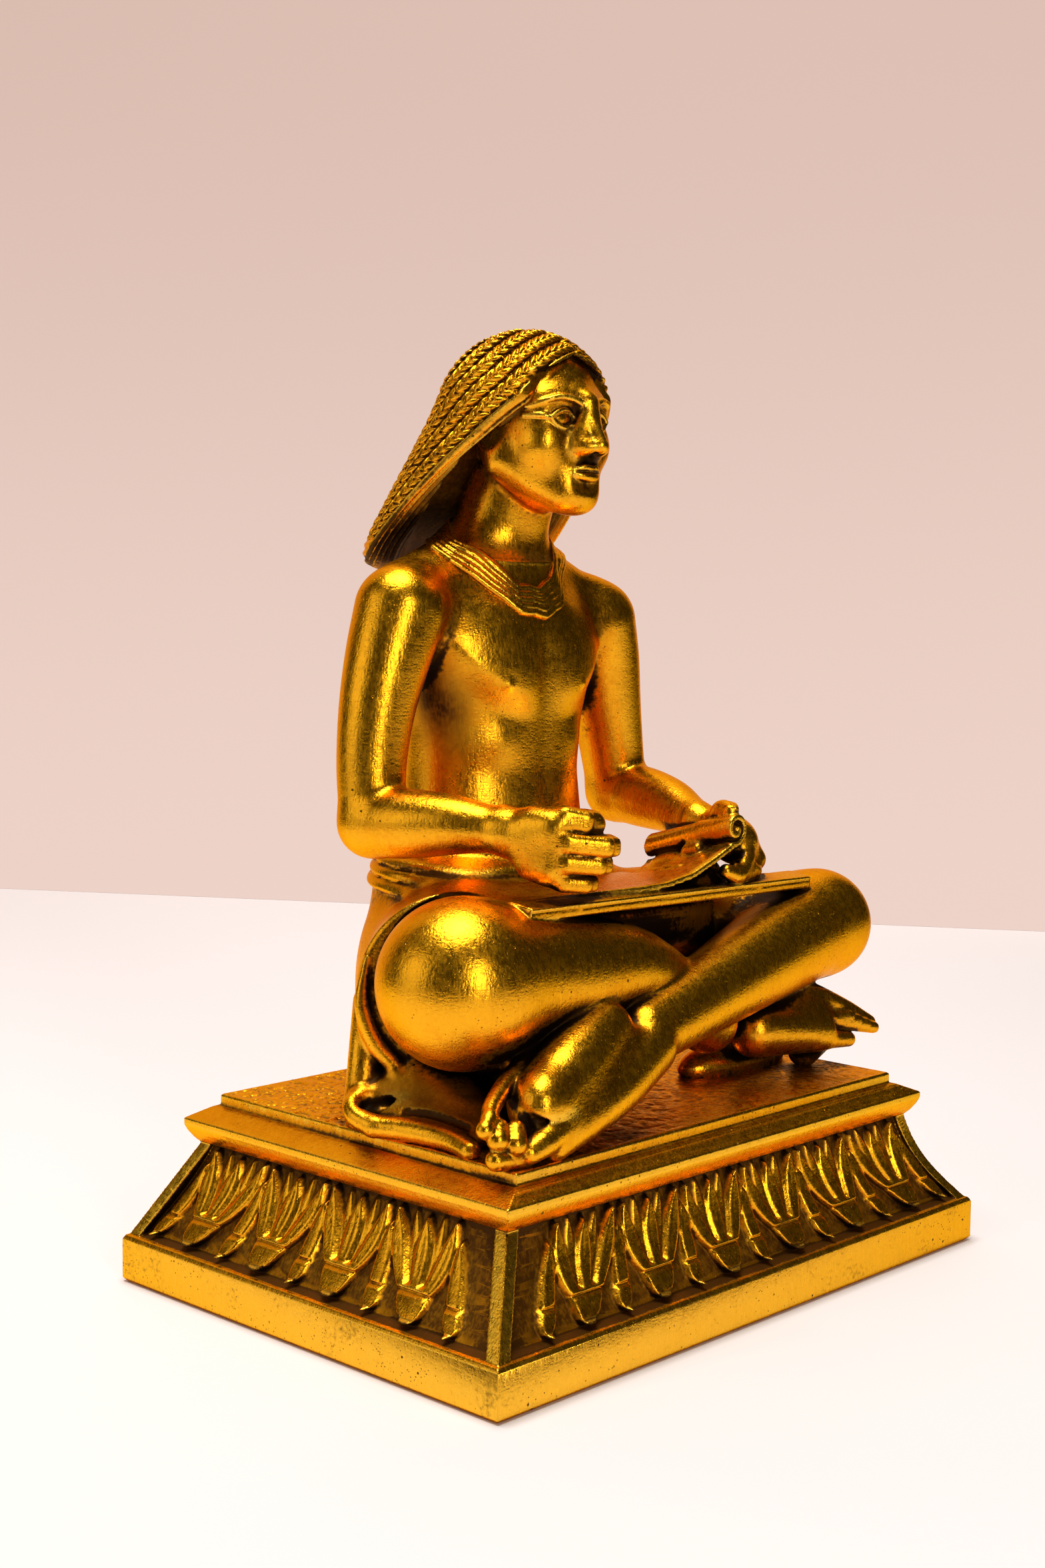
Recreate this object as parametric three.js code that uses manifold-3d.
// Seated scribe statuette on a moulded plinth, cast in one piece.
// Millimetres, +Z up. The origin is the centre of the underside, and the scribe faces -Y.
import * as THREE from "three";
import { mergeVertices } from "three/addons/utils/BufferGeometryUtils.js";
import { edgeTable, triTable } from "three/addons/objects/MarchingCubes.js";
import Module from "manifold-3d";

// Plinth: outer size of the foot slab, and how far each level steps in from it.
const PLINTH_WIDTH = 105;
const PLINTH_DEPTH = 75;
const FOOT_HEIGHT = 5.9;
const LEDGE_INSET = 2.2;
const LEDGE_RISE = 1.2;
const LIP_WIDTH = 1;
const WALL_HEIGHT = 13;
const WALL_INSET_SIDE = 9.4;
const WALL_INSET_FRONT = 7.8;
const WALL_HOLLOW = 0.9;
const CORNICE_STEP = 0.9;
const CORNICE_HEIGHT = 3.4;
const CORNICE_FLARE = 1.6;
const TOP_SLOPE_RISE = 1.7;
const PANEL_INSET_SIDE = 11.3;
const PANEL_INSET_FRONT = 8.1;
const PANEL_HEIGHT = 1.6;

// Carving of the plinth wall: lotus flowers with a bud on each side of every flower. The buds stand
// a little closer than the flowers' pitch, so that the last one clears the corner rib.
const FLOWER_PITCH = 15.4;
const FLOWER_RELIEF = 1.1;
const BUD_RELIEF = 0.9;
const BUD_CROWDING = 0.985;
const RIB_WIDTH = 2.2;
const RIB_RELIEF = 0.8;

// The scribe, from the panel's top to the crown of the wig, and the height it is drawn at below.
const SCRIBE_HEIGHT = 110.3;
const DRAWN_HEIGHT = 110.3;
const SUNK = 1;
const COLLAR_BREADTH = 5.6;
const COLLAR_THICKNESS = 0.8;
const SCULPT_CELL = 1.05;
const SCULPT_TRIANGLES = 6000;

const WALL_FOOT = FOOT_HEIGHT + LEDGE_RISE;
const NECK_LEVEL = WALL_FOOT + WALL_HEIGHT;
const CORNICE_TOP = NECK_LEVEL + CORNICE_HEIGHT;
const PANEL_FOOT = CORNICE_TOP + TOP_SLOPE_RISE;
const PANEL_TOP = PANEL_FOOT + PANEL_HEIGHT;

const wasm = await Module();
wasm.setup();

// A three.js geometry as a solid that can be joined or cut, and back again.
function solidOf(geometry) {
  const bare = new THREE.BufferGeometry();
  bare.setAttribute("position", geometry.attributes.position);
  bare.setIndex(geometry.index);
  const merged = mergeVertices(bare, 1e-4);
  return new wasm.Manifold(
    new wasm.Mesh({
      numProp: 3,
      vertProperties: new Float32Array(merged.attributes.position.array),
      triVerts: new Uint32Array(merged.index.array),
    }),
  );
}

function geometryOf(solid) {
  const mesh = solid.getMesh();
  const geometry = new THREE.BufferGeometry();
  geometry.setAttribute("position", new THREE.BufferAttribute(mesh.vertProperties, 3));
  geometry.setIndex(new THREE.BufferAttribute(mesh.triVerts, 1));
  return geometry;
}

// Distance fields of the figure. A field is a function of x, y, z that is negative inside.
// A tapering limb: two balls of different radius and the cone between them.
function limb([ax, ay, az], [bx, by, bz], ra, rb) {
  const dx = bx - ax;
  const dy = by - ay;
  const dz = bz - az;
  const l2 = dx * dx + dy * dy + dz * dz;
  const rr = ra - rb;
  const a2 = l2 - rr * rr;
  const il2 = 1 / l2;
  return (x, y, z) => {
    const px = x - ax;
    const py = y - ay;
    const pz = z - az;
    const h = px * dx + py * dy + pz * dz;
    const w = h - l2;
    const qx = px * l2 - dx * h;
    const qy = py * l2 - dy * h;
    const qz = pz * l2 - dz * h;
    const x2 = qx * qx + qy * qy + qz * qz;
    const y2 = h * h * l2;
    const z2 = w * w * l2;
    const k = Math.sign(rr) * rr * rr * x2;
    if (Math.sign(w) * a2 * z2 > k) return Math.sqrt(x2 + z2) * il2 - rb;
    if (Math.sign(h) * a2 * y2 < k) return Math.sqrt(x2 + y2) * il2 - ra;
    return (Math.sqrt(x2 * a2 * il2) + h * rr) * il2 - ra;
  };
}

// Turns points into a shape's own frame, by degrees about X, then Y, then Z.
function turned(degrees, [cx, cy, cz]) {
  const angles = degrees.map((d) => THREE.MathUtils.degToRad(d));
  const m = new THREE.Matrix4().makeRotationFromEuler(new THREE.Euler(...angles, "ZYX")).elements;
  return (x, y, z) => {
    const px = x - cx;
    const py = y - cy;
    const pz = z - cz;
    return [
      m[0] * px + m[1] * py + m[2] * pz,
      m[4] * px + m[5] * py + m[6] * pz,
      m[8] * px + m[9] * py + m[10] * pz,
    ];
  };
}

// An egg shape with a radius along each of its own axes.
function blob(centre, [rx, ry, rz], degrees = [0, 0, 0]) {
  const local = turned(degrees, centre);
  return (x, y, z) => {
    const [px, py, pz] = local(x, y, z);
    const k0 = Math.hypot(px / rx, py / ry, pz / rz);
    const k1 = Math.hypot(px / (rx * rx), py / (ry * ry), pz / (rz * rz));
    return k1 < 1e-9 ? -Math.min(rx, ry, rz) : (k0 * (k0 - 1)) / k1;
  };
}

// A box of half sizes with rounded edges.
function block(centre, [hx, hy, hz], round, degrees = [0, 0, 0]) {
  const local = turned(degrees, centre);
  return (x, y, z) => {
    const [px, py, pz] = local(x, y, z);
    const qx = Math.abs(px) - hx + round;
    const qy = Math.abs(py) - hy + round;
    const qz = Math.abs(pz) - hz + round;
    const outside = Math.hypot(Math.max(qx, 0), Math.max(qy, 0), Math.max(qz, 0));
    return outside + Math.min(Math.max(qx, qy, qz), 0) - round;
  };
}

// The half of space behind a plane that passes through a point, facing along a direction.
function behind([cx, cy, cz], direction) {
  const [nx, ny, nz] = new THREE.Vector3(...direction).normalize().toArray();
  return (x, y, z) => (x - cx) * nx + (y - cy) * ny + (z - cz) * nz;
}

// Joins fields, softening the crease between them over the width given.
function join(soft, ...parts) {
  const field = (x, y, z) => {
    let d = parts[0](x, y, z);
    for (let i = 1; i < parts.length; i++) {
      const e = parts[i](x, y, z);
      const h = soft > 0 ? Math.max(soft - Math.abs(d - e), 0) / soft : 0;
      d = Math.min(d, e) - (h * h * soft) / 4;
    }
    return d;
  };
  field.near = (x, y, z, reach) => {
    const distances = parts.map((part) => part(x, y, z));
    const limit = Math.min(...distances) + 2 * reach + soft;
    const kept = parts.filter((part, i) => distances[i] <= limit);
    return join(soft, ...kept.map((part) => near(part, x, y, z, reach)));
  };
  return field;
}

// Keeps what is inside both fields.
function common(soft, a, b) {
  const field = (x, y, z) => {
    const d = a(x, y, z);
    const e = b(x, y, z);
    const h = soft > 0 ? Math.max(soft - Math.abs(d - e), 0) / soft : 0;
    return Math.max(d, e) + (h * h * soft) / 4;
  };
  field.near = (x, y, z, reach) => common(soft, near(a, x, y, z, reach), near(b, x, y, z, reach));
  return field;
}

function cut(soft, a, b) {
  return common(soft, a, (x, y, z) => -b(x, y, z));
}

// The same field with the joined parts left out that are too far from a point to matter near it.
function near(field, x, y, z, reach) {
  return field.near ? field.near(x, y, z, reach) : field;
}

// A cord of one radius laid along points, and a limb that changes radius at each [point, radius].
function cordAlong(points, radius) {
  return join(0, ...points.slice(1).map((p, i) => limb(points[i], p, radius, radius)));
}

function bodyAlong(soft, ...stations) {
  const spans = stations.slice(1).map(([p, r], i) => limb(stations[i][0], p, stations[i][1], r));
  return join(soft, ...spans);
}

// Where the body's parts are, as drawn: x to the scribe's left, y to the back, z up from the panel.
const BODY_AXIS = -1;
const RIGHT_SHOULDER = [-22.3, 12.5, 69.3];
const RIGHT_ELBOW = [-28.2, 11.5, 39.6];
const RIGHT_WRIST = [-23.2, -9.8, 39.8];
const RIGHT_FIST = [-20.6, -18.6, 38];
const LEFT_SHOULDER = [19.4, 13, 68];
const LEFT_ELBOW = [26.2, 13.5, 41];
const LEFT_WRIST = [21.6, -6.5, 37.8];
const LEFT_FIST = [20, -13.5, 34.8];
const RIGHT_KNEE = [-34, -12.3, 20.6];
const LEFT_KNEE = [42, -14.5, 21.2];
const LEFT_ANKLE = [-8, -21.8, 11.8];
const HEAD = [0, 9, 97.5];

function torso() {
  return join(
    5,
    blob([BODY_AXIS, 13.5, 63], [17.5, 10, 13]),
    blob([BODY_AXIS, 14.5, 46], [13.5, 11, 16]),
    blob([BODY_AXIS, 15, 32], [17, 13, 10]),
    blob([BODY_AXIS - 7.5, 8.6, 62.5], [8.5, 4.6, 6.5], [0, 0, 8]),
    blob([BODY_AXIS + 7.5, 8.6, 62.5], [8.5, 4.6, 6.5], [0, 0, -8]),
    limb([BODY_AXIS - 17, 13.5, 69.5], [BODY_AXIS - 5, 14, 73.5], 5.2, 6.4),
    limb([BODY_AXIS + 17, 13.5, 68.8], [BODY_AXIS + 5, 14, 73.5], 5.2, 6.4),
    limb([BODY_AXIS, 12.5, 74], [HEAD[0], 10, 88], 7.4, 6.8),
  );
}

function rightArm() {
  const upper = [[-26.2, 12.3, 56], 5.5];
  const fore = [[-26.8, 3, 40.4], 4.9];
  return bodyAlong(3, [RIGHT_SHOULDER, 6.5], upper, [RIGHT_ELBOW, 5.1], fore, [RIGHT_WRIST, 3.3]);
}

function leftArm() {
  const upper = [[23.2, 13.5, 56], 5.3];
  const fore = [[24.8, 4, 40], 4.5];
  return bodyAlong(3, [LEFT_SHOULDER, 6.4], upper, [LEFT_ELBOW, 4.7], fore, [LEFT_WRIST, 3.2]);
}

// The right hand is a fist on its side: four fingers one above the other, curling to the inside.
function rightFist() {
  const [x, y, z] = RIGHT_FIST;
  const levels = [3.9, 0.8, -1.8, -4.3];
  const lengths = [0.55, 1, 0.85, 0.55];
  const fingers = levels.map((level, i) => {
    const radius = 1.6 - 0.1 * i;
    const base = [x, y, z + level * 0.95];
    const knuckle = [x + 1.2 + 2.2 * lengths[i], y - 1 - 4.2 * lengths[i], z + level];
    const tip = [knuckle[0] + 3.4, knuckle[1] + 2.6, knuckle[2] - 0.2];
    return bodyAlong(0.5, [base, radius + 0.1], [knuckle, radius - 0.1], [tip, radius - 0.2]);
  });
  return join(
    1.4,
    limb(RIGHT_WRIST, [x - 0.6, y + 1.6, z + 2], 3.1, 3.1),
    limb(RIGHT_WRIST, [x - 0.6, y + 1.6, z - 1.6], 3, 2.9),
    join(0.5, ...fingers),
    limb([x + 1.2, y + 3, z + 3], [x + 3.2, y - 2.6, z + 4.2], 1.8, 1.4),
  );
}

// The left hand holds the roll: thumb on top, fingers underneath.
function leftHand() {
  const [x, y, z] = LEFT_FIST;
  const fingers = [0, 1, 2].map((i) => {
    const base = [x + 2.6 - 0.8 * i, y - 1.4 - 1.1 * i, z - 1];
    return limb(base, [x + 0.6 - 2 * i, y - 3.2 - 0.2 * i, z - 3.2], 1.4, 1.25);
  });
  const thumbRoot = [[x + 0.6, y + 2.5, z + 3], 1.7];
  const thumbJoint = [[x - 1.8, y - 0.4, z + 5.6], 1.5];
  const thumbTip = [[x - 2.6, y - 2.4, z + 5.2], 1.3];
  return join(
    1.2,
    limb(LEFT_WRIST, [x + 1.6, y - 0.5, z + 0.6], 3, 3.4),
    limb([x + 2, y + 1, z - 0.5], [x + 2.4, y - 2, z - 1.4], 2.8, 2.2),
    ...fingers,
    bodyAlong(0.5, thumbRoot, thumbJoint, thumbTip),
  );
}

function legs() {
  const right = join(
    2,
    limb([-14, 4, 19], RIGHT_KNEE, 10.5, 10.9),
    limb(RIGHT_KNEE, [-4, -15.8, 19.5], 10.9, 6.1),
    limb([-4, -15.8, 19.5], [14, -15, 9.5], 6.1, 4.8),
  );
  const left = join(2, limb([11, 8, 18], LEFT_KNEE, 11, 7.9), limb(LEFT_KNEE, LEFT_ANKLE, 7.9, 4.7));
  return [right, left];
}

// A bare foot lying on its outer edge, from heel to toes, its sole facing along a direction.
function foot(heel, fore, tip, facing, width, toe) {
  const long = new THREE.Vector3(...fore).sub(new THREE.Vector3(...heel));
  const across = new THREE.Vector3(...facing).cross(long).normalize();
  const sole = long.clone().cross(across).normalize();
  const at = (p, side, lift = 0) =>
    new THREE.Vector3(...p).addScaledVector(across, side * width).addScaledVector(sole, lift).toArray();
  const toes = [-1, -0.55, -0.15, 0.25, 0.85].map((side, i) => {
    const thick = i === 4 ? toe * 1.4 : toe;
    const below = at(tip, side * 0.9, -0.8);
    const above = at(tip, side * 0.9, 0.8);
    return bodyAlong(0.4, [at(fore, side, -1.2), thick + 0.3], [below, thick], [above, thick]);
  });
  const outer = limb(heel, at(fore, 0.6, -0.8), 4.6, 3.1);
  const inner = limb(heel, at(fore, -0.55, -0.8), 4.4, 2.9);
  const flat = behind(at(heel, 0, 3.2), sole.toArray());
  return join(0.8, common(1.2, join(3, outer, inner), flat), join(0.4, ...toes));
}

function bareSkin() {
  const [right, left] = legs();
  const leftHeel = [-16.5, -21.8, 11.8];
  const leftFoot = foot(leftHeel, [-32.5, -25.5, 5], [-37.8, -26.6, 2.4], [-0.62, -0.58, 0.5], 4.4, 1.35);
  const rightHeel = [24, -16.5, 7];
  const rightFoot = foot(rightHeel, [37.5, -19.5, 7], [45, -21.6, 5.8], [-0.1, -0.95, -0.3], 3, 1.05);
  return join(
    1.2,
    join(2.6, torso(), rightArm(), leftArm()),
    rightFist(),
    leftHand(),
    join(1, right, left),
    leftFoot,
    rightFoot,
  );
}

// The kilt covers the hips and thighs, and opens in a round mouth behind the right knee.
function kilt() {
  const hips = join(
    6,
    blob([BODY_AXIS, 15, 14], [23.5, 15.5, 25]),
    blob([BODY_AXIS, 15, 31], [18.3, 14, 5]),
  );
  const thighs = join(
    5,
    limb([-11, 10, 19], [-33, -9, 20.5], 14, 13),
    limb([9, 10, 17], [30, -4, 19.5], 12.5, 9.5),
    block([3, -3, 24], [22, 9, 4.5], 3.5),
  );
  const mouth = behind([-30.5, -5.5, 20], [-0.75, -0.66, 0.05]);
  const leftHem = behind([22, -9, 25], [0.7, -0.7, 0.1]);
  const front = behind([0, -13.5, 28], [0, -1, 0.2]);
  const covers = common(0.8, common(0.8, common(0.8, thighs, mouth), leftHem), front);
  const underThigh = blob([-22, 4, 7], [11.5, 8.5, 8]);
  const fallenFold = limb([-32, 5, 5], [-34.6, 7.5, 1.6], 2.6, 3.4);
  return join(3, hips, covers, underThigh, fallenFold);
}

// Cloth spread on the panel under the right leg, the rolled hem it ends in, and the pad under the left.
function spread() {
  const hem = [[-35.5, 7, 3.4], [-36, 0, 2.9], [-35.5, -12, 2.4], [-34, -19, 2.1]];
  return join(
    1,
    block([-22.5, -6.5, 1.4], [13.5, 12.5, 2.2], 1.4, [0, 0, 3]),
    cordAlong(hem, 1.6),
    blob([27, -10, 1], [12, 4.6, 3.6]),
  );
}

function head() {
  const [x, y, z] = HEAD;
  return join(
    3,
    blob([x, y + 0.5, z + 1.2], [9.6, 11.4, 10.6]),
    blob([x, y - 4, z - 5.5], [7.8, 7.4, 8]),
    blob([x, y - 9.3, z - 10.8], [3.6, 2.6, 2.6]),
    blob([x, y - 11, z - 3.6], [1.8, 3, 2.4]),
  );
}

// The wig is a bell cut back by a sloping plane, and opened over the brow in a pointed arch.
function wig() {
  const [x, y, z] = HEAD;
  const bell = join(
    3,
    blob([x, y + 0.4, z + 0.6], [12.4, 12.6, 12.4]),
    limb([x, y + 1.8, z - 1], [x, y + 4.6, z - 25], 12.6, 20.8),
  );
  const lower = behind([x, y, z - 20.3], [0, 0, -1]);
  const slope = behind([x, y, 100.6 - y], [0, -1, -1]);
  const arch = (px, py, pz) => Math.max(py - 1.2, (pz - 106.3 + 0.42 * Math.abs(px - x)) * 0.92);
  return cut(0.5, common(0.8, common(0.8, bell, lower), slope), arch);
}

// The collar lies on the skin, between two planes that slope down to the breast.
function collar(skinField) {
  const raised = (x, y, z) => skinField(x, y, z) - COLLAR_THICKNESS;
  const top = behind([0, 4.5, 73.5], [0, -0.58, 1]);
  const bottom = behind([0, 4.5, 73.5 - COLLAR_BREADTH], [0, 0.95, -1]);
  const band = common(0.4, common(0.4, raised, top), bottom);
  return common(0, band, behind([0, 0, 62], [0, 0, -1]));
}

// The writing palette stands on its long edge across the lap, before the sheet that is written on.
function palette() {
  return block([4, -17.3, 30.2], [31.5, 2.2, 1], 0.3, [10, 0.4, 0]);
}

function sheet() {
  const onLap = [[-31, -7, 30.4], [-24, -13, 31.2], [-8, -16.2, 30.9], [4, -17, 31.4]];
  const toRoll = [[12, -17.5, 34], [16.5, -17.5, 36.6]];
  return join(1, cordAlong([...onLap, ...toRoll], 0.7), block([-8, -8, 30.2], [20, 8, 0.9], 0.6));
}

// The rest of the sheet, rolled up in the left hand.
function roll() {
  return limb([16.6, -16.8, 38.2], [17.2, -1.5, 33.6], 2.1, 2.7);
}

function scribe() {
  const skin = bareSkin();
  const parts = [skin, kilt(), spread(), head(), wig(), collar(torso()), palette(), sheet(), roll()];
  return common(0, join(0.5, ...parts), behind([0, 0, -SUNK], [0, 0, -1]));
}

// Samples a field on a grid. Blocks of cells away from the surface take one value.
function sample(field, low, high, cell) {
  const BLOCK = 6;
  const [nx, ny, nz] = low.map((v, i) => Math.ceil((high[i] - v) / cell) + 1);
  const values = new Float32Array(nx * ny * nz);
  const reach = (cell * BLOCK * Math.sqrt(3)) / 2;
  for (let k0 = 0; k0 < nz; k0 += BLOCK)
    for (let j0 = 0; j0 < ny; j0 += BLOCK)
      for (let i0 = 0; i0 < nx; i0 += BLOCK) {
        const middle = [i0, j0, k0].map((v, n) => low[n] + (v + (BLOCK - 1) / 2) * cell);
        const d = field(...middle);
        const far = Math.abs(d) > reach * 1.8;
        const local = far ? null : near(field, ...middle, reach);
        for (let k = k0; k < Math.min(k0 + BLOCK, nz); k++)
          for (let j = j0; j < Math.min(j0 + BLOCK, ny); j++)
            for (let i = i0; i < Math.min(i0 + BLOCK, nx); i++) {
              const at = i + nx * (j + ny * k);
              values[at] = far ? d : local(low[0] + i * cell, low[1] + j * cell, low[2] + k * cell);
            }
      }
  return { values, nx, ny, nz };
}

// Marching cubes: a closed mesh of the surface where the samples change sign.
function surfaceOf({ values, nx, ny, nz }, low, cell) {
  const at = (i, j, k) => i + nx * (j + ny * k);
  // The corners of a cell. Each edge is [its lower corner, its upper corner, its axis].
  const square = [[0, 0], [1, 0], [1, 1], [0, 1]];
  const corners = [0, 1].flatMap((k) => square.map(([i, j]) => [i, j, k]));
  const around = [[0, 1, 0], [1, 2, 1], [3, 2, 0], [0, 3, 1]];
  const upper = around.map(([a, b, axis]) => [a + 4, b + 4, axis]);
  const edges = [...around, ...upper, ...[0, 1, 2, 3].map((a) => [a, a + 4, 2])];
  const onEdge = new Map();
  const points = [];
  const faces = [];
  for (let k = 0; k < nz - 1; k++)
    for (let j = 0; j < ny - 1; j++)
      for (let i = 0; i < nx - 1; i++) {
        let code = 0;
        for (let n = 0; n < 8; n++)
          if (values[at(i + corners[n][0], j + corners[n][1], k + corners[n][2])] < 0) code |= 1 << n;
        if (!edgeTable[code]) continue;
        const made = edges.map(([a, b, axis], n) => {
          if (!(edgeTable[code] & (1 << n))) return -1;
          const from = at(i + corners[a][0], j + corners[a][1], k + corners[a][2]);
          const to = at(i + corners[b][0], j + corners[b][1], k + corners[b][2]);
          const key = from * 3 + axis;
          if (!onEdge.has(key)) {
            const t = THREE.MathUtils.clamp(values[from] / (values[from] - values[to]), 0.03, 0.97);
            onEdge.set(key, points.length);
            points.push([i, j, k].map((v, m) => low[m] + (v + corners[a][m] + (m === axis ? t : 0)) * cell));
          }
          return onEdge.get(key);
        });
        for (let t = code * 16; triTable[t] !== -1; t += 3)
          faces.push([made[triTable[t]], made[triTable[t + 2]], made[triTable[t + 1]]]);
      }
  return { points, faces };
}

// Keeps the largest connected shell, so that no loose crumb or sealed hollow is left.
function largestShell({ points, faces }) {
  const owner = points.map((p, i) => i);
  const root = (i) => {
    while (owner[i] !== i) i = owner[i] = owner[owner[i]];
    return i;
  };
  for (const [a, b, c] of faces) {
    owner[root(a)] = root(b);
    owner[root(b)] = root(c);
  }
  const sizes = new Map();
  for (const [a] of faces) sizes.set(root(a), (sizes.get(root(a)) ?? 0) + 1);
  const largest = [...sizes].sort((a, b) => b[1] - a[1])[0][0];
  return { points, faces: faces.filter(([a]) => root(a) === largest) };
}

// Merges the edges that matter least to the form until the number of triangles is reached.
function thinned({ points, faces }, target) {
  const around = points.map(() => new Set());
  faces.forEach((face, f) => face.forEach((v) => around[v].add(f)));
  const normalOf = (p, q, r) => {
    const ux = q[0] - p[0];
    const uy = q[1] - p[1];
    const uz = q[2] - p[2];
    const vx = r[0] - p[0];
    const vy = r[1] - p[1];
    const vz = r[2] - p[2];
    return [uy * vz - uz * vy, uz * vx - ux * vz, ux * vy - uy * vx];
  };
  // Each point carries the sum of squared distances to the planes of its triangles, as 10 numbers.
  const quadrics = points.map(() => new Float64Array(10));
  for (const face of faces) {
    const [nx, ny, nz] = normalOf(...face.map((v) => points[v]));
    const l = Math.hypot(nx, ny, nz) || 1;
    const [a, b, c] = [nx / l, ny / l, nz / l];
    const d = -(a * points[face[0]][0] + b * points[face[0]][1] + c * points[face[0]][2]);
    const terms = [a * a, a * b, a * c, a * d, b * b, b * c, b * d, c * c, c * d, d * d];
    for (const v of face) terms.forEach((t, i) => (quadrics[v][i] += t * l));
  }
  const costAt = (q, [x, y, z]) =>
    q[0] * x * x + 2 * q[1] * x * y + 2 * q[2] * x * z + 2 * q[3] * x + q[4] * y * y + 2 * q[5] * y * z +
    2 * q[6] * y + q[7] * z * z + 2 * q[8] * z + q[9];
  // The best place for the merged point: the quadric's lowest point, or else an end or the middle.
  const merge = (a, b) => {
    const q = quadrics[a].map((v, i) => v + quadrics[b][i]);
    const middle = points[a].map((v, i) => (v + points[b][i]) / 2);
    const places = [points[a], points[b], middle];
    const m = new THREE.Matrix3().set(q[0], q[1], q[2], q[1], q[4], q[5], q[2], q[5], q[7]);
    if (Math.abs(m.determinant()) > 1e-6) {
      const best = new THREE.Vector3(-q[3], -q[6], -q[8]).applyMatrix3(m.invert()).toArray();
      if (Math.hypot(...best.map((v, i) => v - middle[i])) < 3) places.push(best);
    }
    const costs = places.map((p) => costAt(q, p));
    const cost = Math.min(...costs);
    const length = Math.hypot(...points[a].map((v, i) => v - points[b][i]));
    return { cost: Math.max(cost, 0) + 1e-5 * length, place: places[costs.indexOf(cost)], q };
  };
  const stamp = new Uint32Array(points.length);
  const heap = [];
  const rise = (item) => {
    let i = heap.length;
    heap.push(item);
    while (i > 0) {
      const up = (i - 1) >> 1;
      if (heap[up].cost <= item.cost) break;
      heap[i] = heap[up];
      i = up;
    }
    heap[i] = item;
  };
  const take = () => {
    const top = heap[0];
    const item = heap.pop();
    let i = 0;
    while (heap.length && 2 * i + 1 < heap.length) {
      let down = 2 * i + 1;
      if (down + 1 < heap.length && heap[down + 1].cost < heap[down].cost) down++;
      if (heap[down].cost >= item.cost) break;
      heap[i] = heap[down];
      i = down;
    }
    if (heap.length) heap[i] = item;
    return top;
  };
  const neighbours = (v) => new Set([...around[v]].flatMap((f) => faces[f]).filter((w) => w !== v));
  const offer = (a, b) => rise({ a, b, when: stamp[a] + stamp[b], ...merge(a, b) });
  for (const [a, b, c] of faces) {
    if (a < b) offer(a, b);
    if (b < c) offer(b, c);
    if (c < a) offer(c, a);
  }
  // Merging must not turn a triangle over, make a sliver, or pinch the surface together.
  const allowed = (a, b, place) => {
    const ring = neighbours(b);
    if ([...neighbours(a)].filter((v) => ring.has(v)).length !== 2) return false;
    for (const v of [a, b])
      for (const f of around[v]) {
        if (faces[f].includes(a) && faces[f].includes(b)) continue;
        const before = normalOf(...faces[f].map((w) => points[w]));
        const moved = faces[f].map((w) => (w === v ? place : points[w]));
        const after = normalOf(...moved);
        const dot = before[0] * after[0] + before[1] * after[1] + before[2] * after[2];
        const area = Math.hypot(...after);
        if (dot < 0.2 * Math.hypot(...before) * area) return false;
        const sides = moved.map((p, i) => Math.hypot(...p.map((c, m) => c - moved[(i + 1) % 3][m])));
        if (area < 0.05 * Math.max(...sides) ** 2) return false;
      }
    return true;
  };
  let left = faces.length;
  while (left > target && heap.length) {
    const { a, b, when, place, q } = take();
    if (!around[a] || !around[b] || stamp[a] + stamp[b] !== when || !allowed(a, b, place)) continue;
    for (const f of around[b]) {
      if (faces[f].includes(a)) {
        for (const v of faces[f]) if (v !== b) around[v].delete(f);
        faces[f] = null;
        left--;
      } else {
        faces[f] = faces[f].map((v) => (v === b ? a : v));
        around[a].add(f);
      }
    }
    around[b] = null;
    points[a] = place;
    quadrics[a] = q;
    stamp[a]++;
    for (const v of neighbours(a)) offer(a, v);
  }
  return { points, faces: faces.filter((face) => face) };
}

function sculpted() {
  const low = [-49, -33, -2.5];
  const high = [54, 37, 113];
  const shell = largestShell(surfaceOf(sample(scribe(), low, high, SCULPT_CELL), low, SCULPT_CELL));
  const { points, faces } = thinned(shell, SCULPT_TRIANGLES);
  const geometry = new THREE.BufferGeometry();
  geometry.setAttribute("position", new THREE.Float32BufferAttribute(points.flat(), 3));
  geometry.setIndex(faces.flat());
  return placed(geometry);
}

// Brings geometry drawn from the panel's top to its full size and height.
function placed(geometry) {
  const scale = SCRIBE_HEIGHT / DRAWN_HEIGHT;
  return geometry.scale(scale, scale, scale).translate(0, 0, PANEL_TOP);
}

// A stack of rectangles [x0, x1, y0, y1, z], joined from each level to the next.
function stack(levels) {
  const points = levels.flatMap(([x0, x1, y0, y1, z]) => [x0, y0, z, x1, y0, z, x1, y1, z, x0, y1, z]);
  const top = (levels.length - 1) * 4;
  const faces = [0, 2, 1, 0, 3, 2, top, top + 1, top + 2, top, top + 2, top + 3];
  for (let i = 0; i < top; i += 4)
    for (let c = 0; c < 4; c++) {
      const n = (c + 1) % 4;
      faces.push(i + c, i + n, i + 4 + n, i + c, i + 4 + n, i + 4 + c);
    }
  const geometry = new THREE.BufferGeometry();
  geometry.setAttribute("position", new THREE.Float32BufferAttribute(points, 3));
  geometry.setIndex(faces);
  return geometry;
}

const level = (insetSide, insetFront, z) => {
  const hx = PLINTH_WIDTH / 2 - insetSide;
  const hy = PLINTH_DEPTH / 2 - insetFront;
  return [-hx, hx, -hy, hy, z];
};

// How far the wall steps in at a height up it, from its foot (0) to the neck (1): a hollow curve.
function wallInset(share, full) {
  const foot = LEDGE_INSET + LIP_WIDTH;
  return foot + (full - foot) * share + WALL_HOLLOW * Math.sin(Math.PI * share);
}

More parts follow.
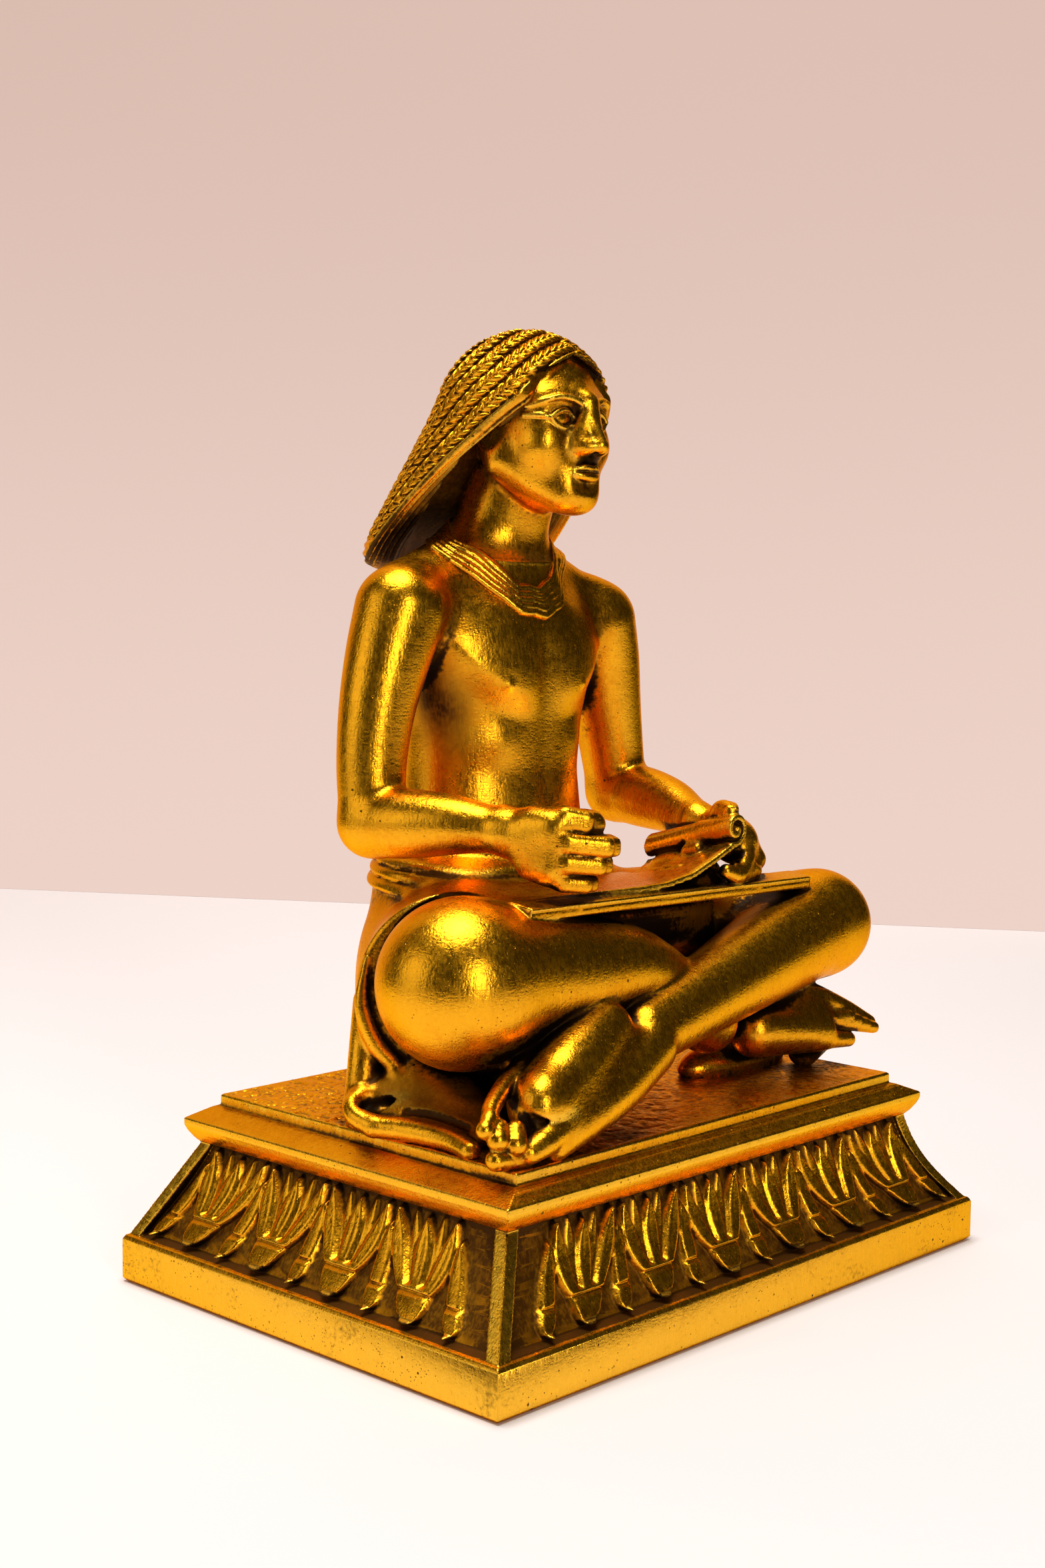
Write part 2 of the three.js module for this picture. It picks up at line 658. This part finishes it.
function plinthCore() {
  const rise = [0, 0.25, 0.5, 0.75, 1];
  const wall = rise.map((share) => {
    const z = WALL_FOOT + WALL_HEIGHT * share;
    return level(wallInset(share, WALL_INSET_SIDE), wallInset(share, WALL_INSET_FRONT), z);
  });
  const side = WALL_INSET_SIDE - CORNICE_STEP;
  const front = WALL_INSET_FRONT - CORNICE_STEP;
  return stack([
    level(0.5, 0.5, 0),
    level(0, 0, 0.5),
    level(0, 0, FOOT_HEIGHT - 0.5),
    level(0.5, 0.5, FOOT_HEIGHT),
    level(LEDGE_INSET, LEDGE_INSET, WALL_FOOT),
    ...wall,
    level(side, front, NECK_LEVEL + 0.01),
    level(side - CORNICE_FLARE * 0.7, front - CORNICE_FLARE * 0.7, NECK_LEVEL + CORNICE_HEIGHT * 0.45),
    level(side - CORNICE_FLARE, front - CORNICE_FLARE, CORNICE_TOP),
    level(PANEL_INSET_SIDE - 1, PANEL_INSET_FRONT - 0.8, PANEL_FOOT - 0.3),
    level(PANEL_INSET_SIDE, PANEL_INSET_FRONT, PANEL_FOOT),
    level(PANEL_INSET_SIDE, PANEL_INSET_FRONT, PANEL_TOP - 0.3),
    level(PANEL_INSET_SIDE + 0.3, PANEL_INSET_FRONT + 0.3, PANEL_TOP),
  ]);
}

// A rib follows the wall's curve up each corner.
function cornerRibs() {
  const shares = [0, 0.25, 0.5, 0.75, 1];
  return [-1, 1].flatMap((sx) =>
    [-1, 1].map((sy) =>
      stack(
        shares.map((share) => {
          const x = sx * (PLINTH_WIDTH / 2 - wallInset(share, WALL_INSET_SIDE) + RIB_RELIEF);
          const y = sy * (PLINTH_DEPTH / 2 - wallInset(share, WALL_INSET_FRONT) + RIB_RELIEF);
          const inX = x - sx * (RIB_WIDTH + RIB_RELIEF);
          const inY = y - sy * (RIB_WIDTH + RIB_RELIEF);
          const z = WALL_FOOT - 0.2 + (WALL_HEIGHT + 0.5) * share;
          return [Math.min(x, inX), Math.max(x, inX), Math.min(y, inY), Math.max(y, inY), z];
        }),
      ),
    ),
  );
}

// An outline with two like halves, from its foot up to the tip. Places are shares of the pitch of the
// flowers along the wall, and of the wall's height up it.
function mirroredShape(half, tip) {
  const other = half.map(([u, v]) => [-u, v]).reverse();
  const outline = [...half, [0, tip], ...other];
  return new THREE.Shape(outline.map(([u, v]) => new THREE.Vector2(u * FLOWER_PITCH, v * WALL_HEIGHT)));
}

// A lotus in outline: a round cup, and five pointed petals that spread from it.
function lotusShape() {
  const cup = [[0.071, 0.038], [0.143, 0.123], [0.136, 0.246]];
  const outerPetal = [[0.201, 0.508], [0.409, 0.892], [0.299, 0.915], [0.156, 0.615]];
  const innerPetal = [[0.227, 0.946], [0.143, 0.962], [0.058, 0.6]];
  return mirroredShape([...cup, ...outerPetal, ...innerPetal], 0.977);
}

// A bud in outline: a small round base and a slim pointed body.
function budShape() {
  const base = [[0.045, 0.046], [0.078, 0.123], [0.065, 0.223]];
  return mirroredShape([...base, [0.088, 0.423], [0.058, 0.615]], 0.738);
}

// Bends an outline drawn flat (u along, v up) onto one wall of the plinth, and makes it stand out.
// The walls lean in, so that a place along them draws in with its height.
function onWall(shape, place, relief, facing) {
  const geometry = new THREE.ExtrudeGeometry(shape, { depth: 1, bevelEnabled: false, curveSegments: 4 });
  const long = facing % 2 === 0;
  const length = long ? PLINTH_WIDTH : PLINTH_DEPTH;
  const depth = long ? PLINTH_DEPTH : PLINTH_WIDTH;
  const alongInset = long ? WALL_INSET_SIDE : WALL_INSET_FRONT;
  const outInset = long ? WALL_INSET_FRONT : WALL_INSET_SIDE;
  const position = geometry.attributes.position;
  for (let i = 0; i < position.count; i++) {
    const share = position.getY(i) / WALL_HEIGHT;
    const draw = (length / 2 - wallInset(share, alongInset)) / (length / 2 - wallInset(0, alongInset));
    const along = (place + position.getX(i)) * draw;
    const out = depth / 2 - wallInset(share, outInset) + (position.getZ(i) > 0.5 ? relief : -1);
    position.setXYZ(i, along, -out, WALL_FOOT + position.getY(i));
  }
  return geometry.rotateZ((facing * Math.PI) / 2);
}

// Each wall holds as many flowers as its foot has room for, with a bud on both sides of every flower.
function plinthCarving() {
  const carving = [];
  for (const facing of [0, 1, 2, 3]) {
    const foot = (facing % 2 === 0 ? PLINTH_WIDTH : PLINTH_DEPTH) - 2 * wallInset(0, 0);
    const flowers = Math.floor(foot / FLOWER_PITCH);
    for (let i = 0; i < flowers; i++)
      carving.push(onWall(lotusShape(), (i - (flowers - 1) / 2) * FLOWER_PITCH, FLOWER_RELIEF, facing));
    for (let i = 0; i <= flowers; i++)
      carving.push(onWall(budShape(), (i - flowers / 2) * FLOWER_PITCH * BUD_CROWDING, BUD_RELIEF, facing));
  }
  return carving;
}

function statue() {
  const pieces = [plinthCore(), ...cornerRibs(), ...plinthCarving(), sculpted()];
  return pieces.map((piece) => solidOf(piece)).reduce((whole, piece) => whole.add(piece));
}

const gilt = new THREE.MeshStandardMaterial({ color: 0xc8860a, metalness: 0.9, roughness: 0.4 });
const scribeMesh = new THREE.Mesh(geometryOf(statue()), gilt);
scribeMesh.name = "seated_scribe";
const group = new THREE.Group();
group.add(scribeMesh);
export default group;
